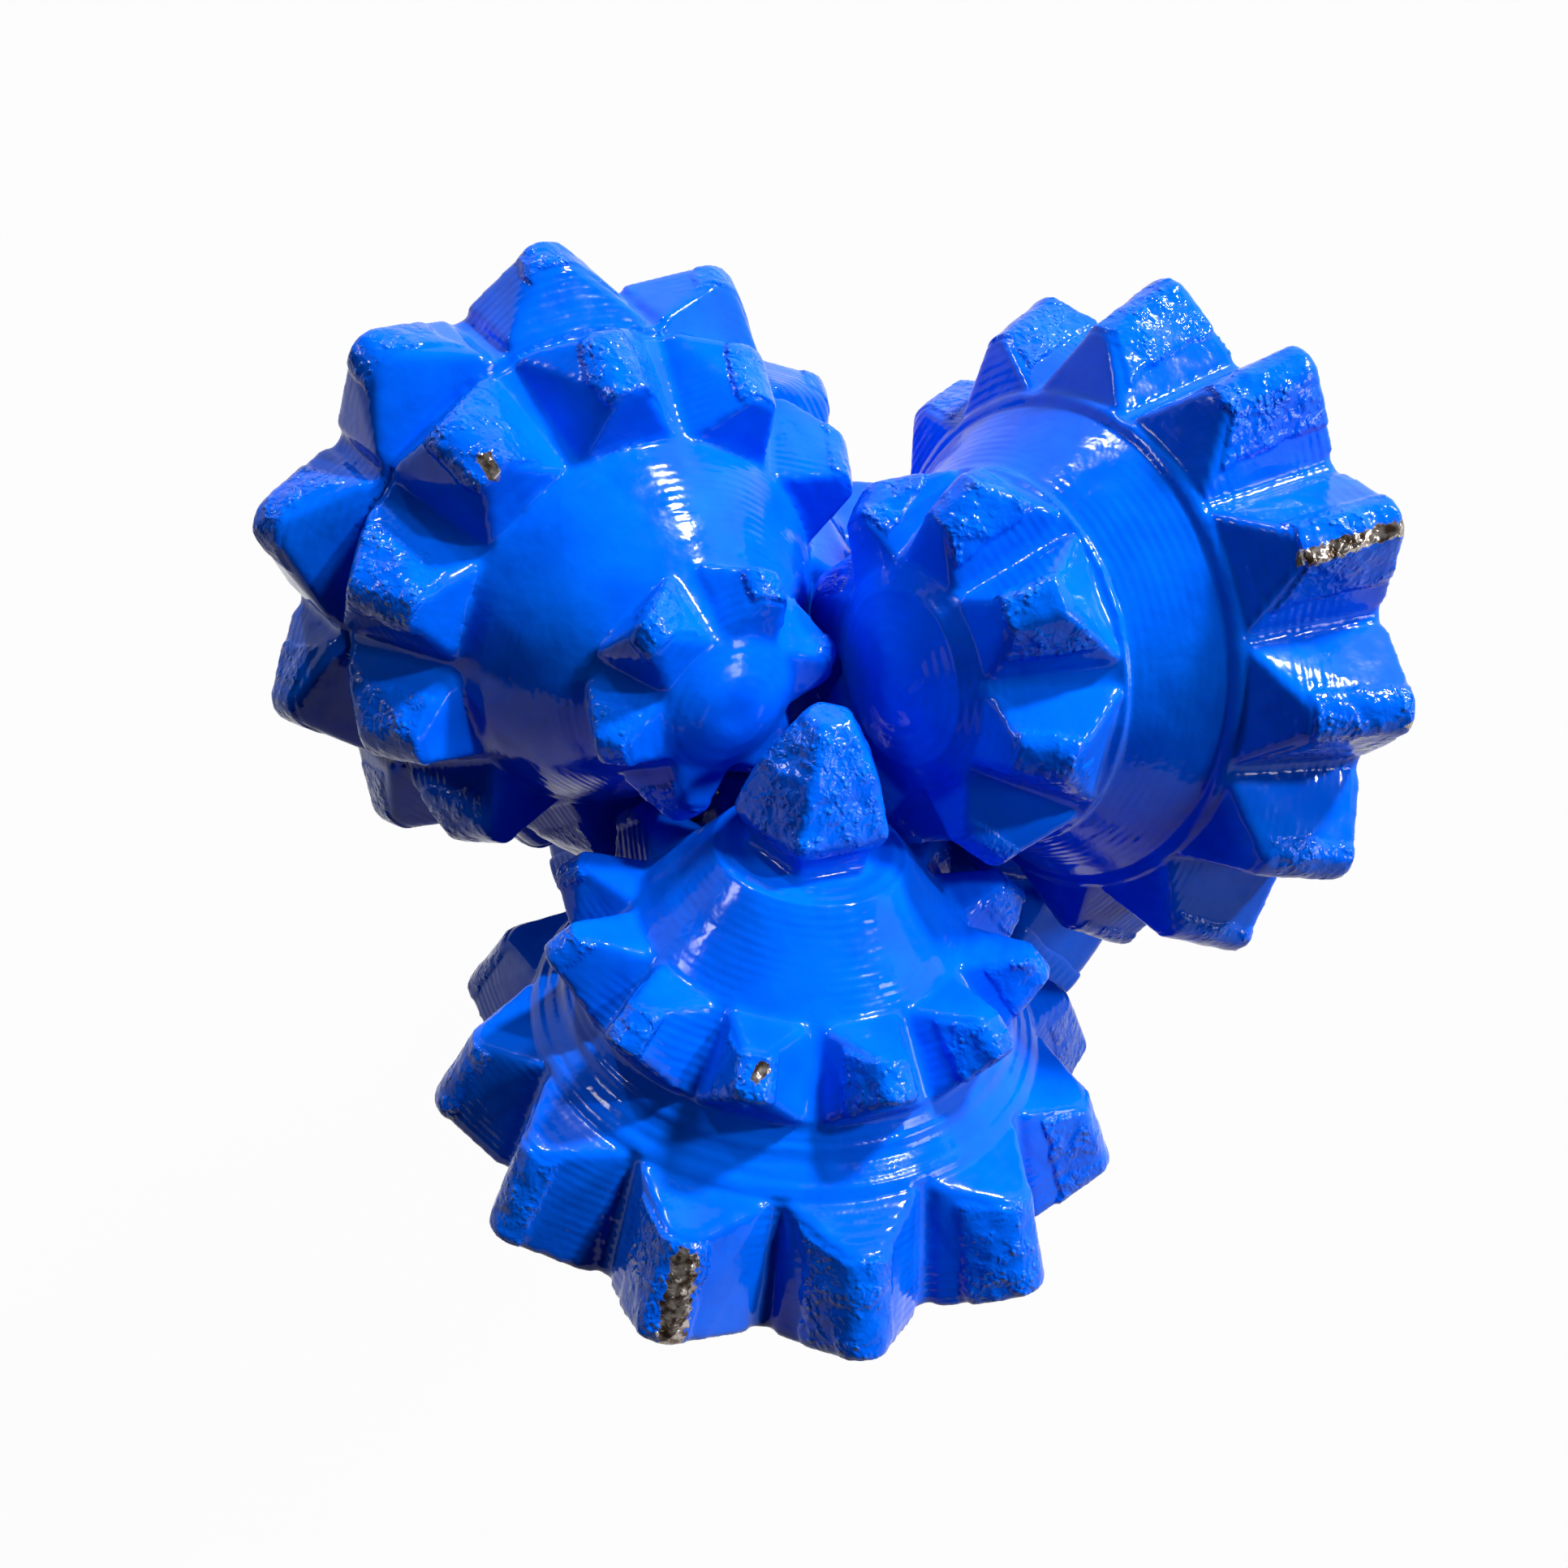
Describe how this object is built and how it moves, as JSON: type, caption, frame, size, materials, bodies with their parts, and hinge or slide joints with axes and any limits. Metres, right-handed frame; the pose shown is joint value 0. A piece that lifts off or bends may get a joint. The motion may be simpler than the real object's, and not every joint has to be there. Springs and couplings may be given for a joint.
{
  "type": "tricone drill bit",
  "caption": "Roller-cone drill bit with milled teeth: three legs carry intermeshing toothed cones on sealed bearings above a tapered threaded pin.",
  "frame": {"origin": "on the bit's axis at the end face of the threaded pin; the middle of the bounding box lies up to 4.6 mm to the side of it, because three offset cones don't fill a square box evenly", "axes": "+Z along the bit's axis from the pin to the cones; cone 2's leg is 15 degrees from +X towards +Y, cone 3's at 135 and cone 1's at 255 degrees"},
  "size_m": [0.2152, 0.21, 0.3085],
  "materials": {
    "blue_paint": "glossy thick blue paint over forged and milled steel",
    "bearing_steel": "ground hardened steel",
    "cap_steel": "plain machined steel",
    "bearing_bronze": "turned bearing bronze",
    "seal_rubber": "matt black nitrile rubber",
    "nozzle_carbide": "ground tungsten carbide"
  },
  "bodies": {
    "legs": {"leg_1": "blue_paint", "ball_plug_1": "bearing_steel", "reservoir_diaphragm_1": "seal_rubber", "reservoir_cap_1": "cap_steel", "reservoir_snap_ring_1": "cap_steel", "jet_nozzle_1": "nozzle_carbide", "nozzle_retaining_ring_1": "cap_steel", "nozzle_seal_1": "seal_rubber", "leg_2": "blue_paint", "ball_plug_2": "bearing_steel", "reservoir_diaphragm_2": "seal_rubber", "reservoir_cap_2": "cap_steel", "reservoir_snap_ring_2": "cap_steel", "jet_nozzle_2": "nozzle_carbide", "nozzle_retaining_ring_2": "cap_steel", "nozzle_seal_2": "seal_rubber", "leg_3": "blue_paint", "ball_plug_3": "bearing_steel", "reservoir_diaphragm_3": "seal_rubber", "reservoir_cap_3": "cap_steel", "reservoir_snap_ring_3": "cap_steel", "jet_nozzle_3": "nozzle_carbide", "nozzle_retaining_ring_3": "cap_steel", "nozzle_seal_3": "seal_rubber"},
    "cone_1": {"cone_1": "blue_paint", "nose_bushing_1": "bearing_bronze", "thrust_washer_1": "bearing_bronze", "thrust_button_1": "bearing_steel", "cone_seal_1": "seal_rubber"},
    "rollers_1": {"main_rollers_1": "bearing_steel"},
    "balls_1": {"retaining_balls_1": "bearing_steel"},
    "cone_2": {"cone_2": "blue_paint", "nose_bushing_2": "bearing_bronze", "thrust_washer_2": "bearing_bronze", "thrust_button_2": "bearing_steel", "cone_seal_2": "seal_rubber"},
    "rollers_2": {"main_rollers_2": "bearing_steel"},
    "balls_2": {"retaining_balls_2": "bearing_steel"},
    "cone_3": {"cone_3": "blue_paint", "nose_bushing_3": "bearing_bronze", "thrust_washer_3": "bearing_bronze", "thrust_button_3": "bearing_steel", "cone_seal_3": "seal_rubber"},
    "rollers_3": {"main_rollers_3": "bearing_steel"},
    "balls_3": {"retaining_balls_3": "bearing_steel"}
  },
  "joints": [
    {"name": "cone_1_spin", "type": "hinge", "parent": "legs", "child": "cone_1", "pos_m": [0.00493, -0.00132, 0.293], "axis": [-0.2107, -0.7864, -0.5807], "continuous": true},
    {"name": "rollers_1_orbit", "type": "hinge", "parent": "legs", "child": "rollers_1", "pos_m": [0.00493, -0.00132, 0.293], "axis": [-0.2107, -0.7864, -0.5807], "continuous": true},
    {"name": "balls_1_orbit", "type": "hinge", "parent": "legs", "child": "balls_1", "pos_m": [0.00493, -0.00132, 0.293], "axis": [-0.2107, -0.7864, -0.5807], "continuous": true},
    {"name": "cone_2_spin", "type": "hinge", "parent": "legs", "child": "cone_2", "pos_m": [-0.00132, 0.00493, 0.293], "axis": [0.7864, 0.2107, -0.5807], "continuous": true},
    {"name": "rollers_2_orbit", "type": "hinge", "parent": "legs", "child": "rollers_2", "pos_m": [-0.00132, 0.00493, 0.293], "axis": [0.7864, 0.2107, -0.5807], "continuous": true},
    {"name": "balls_2_orbit", "type": "hinge", "parent": "legs", "child": "balls_2", "pos_m": [-0.00132, 0.00493, 0.293], "axis": [0.7864, 0.2107, -0.5807], "continuous": true},
    {"name": "cone_3_spin", "type": "hinge", "parent": "legs", "child": "cone_3", "pos_m": [-0.00361, -0.00361, 0.293], "axis": [-0.5757, 0.5757, -0.5807], "continuous": true},
    {"name": "rollers_3_orbit", "type": "hinge", "parent": "legs", "child": "rollers_3", "pos_m": [-0.00361, -0.00361, 0.293], "axis": [-0.5757, 0.5757, -0.5807], "continuous": true},
    {"name": "balls_3_orbit", "type": "hinge", "parent": "legs", "child": "balls_3", "pos_m": [-0.00361, -0.00361, 0.293], "axis": [-0.5757, 0.5757, -0.5807], "continuous": true}
  ],
  "couplings": [
    {"joint": "rollers_1_orbit", "follows": "cone_1_spin", "ratio": 0.58},
    {"joint": "balls_1_orbit", "follows": "cone_1_spin", "ratio": 0.6133},
    {"joint": "rollers_2_orbit", "follows": "cone_2_spin", "ratio": 0.58},
    {"joint": "balls_2_orbit", "follows": "cone_2_spin", "ratio": 0.6133},
    {"joint": "rollers_3_orbit", "follows": "cone_3_spin", "ratio": 0.58},
    {"joint": "balls_3_orbit", "follows": "cone_3_spin", "ratio": 0.6133}
  ]
}
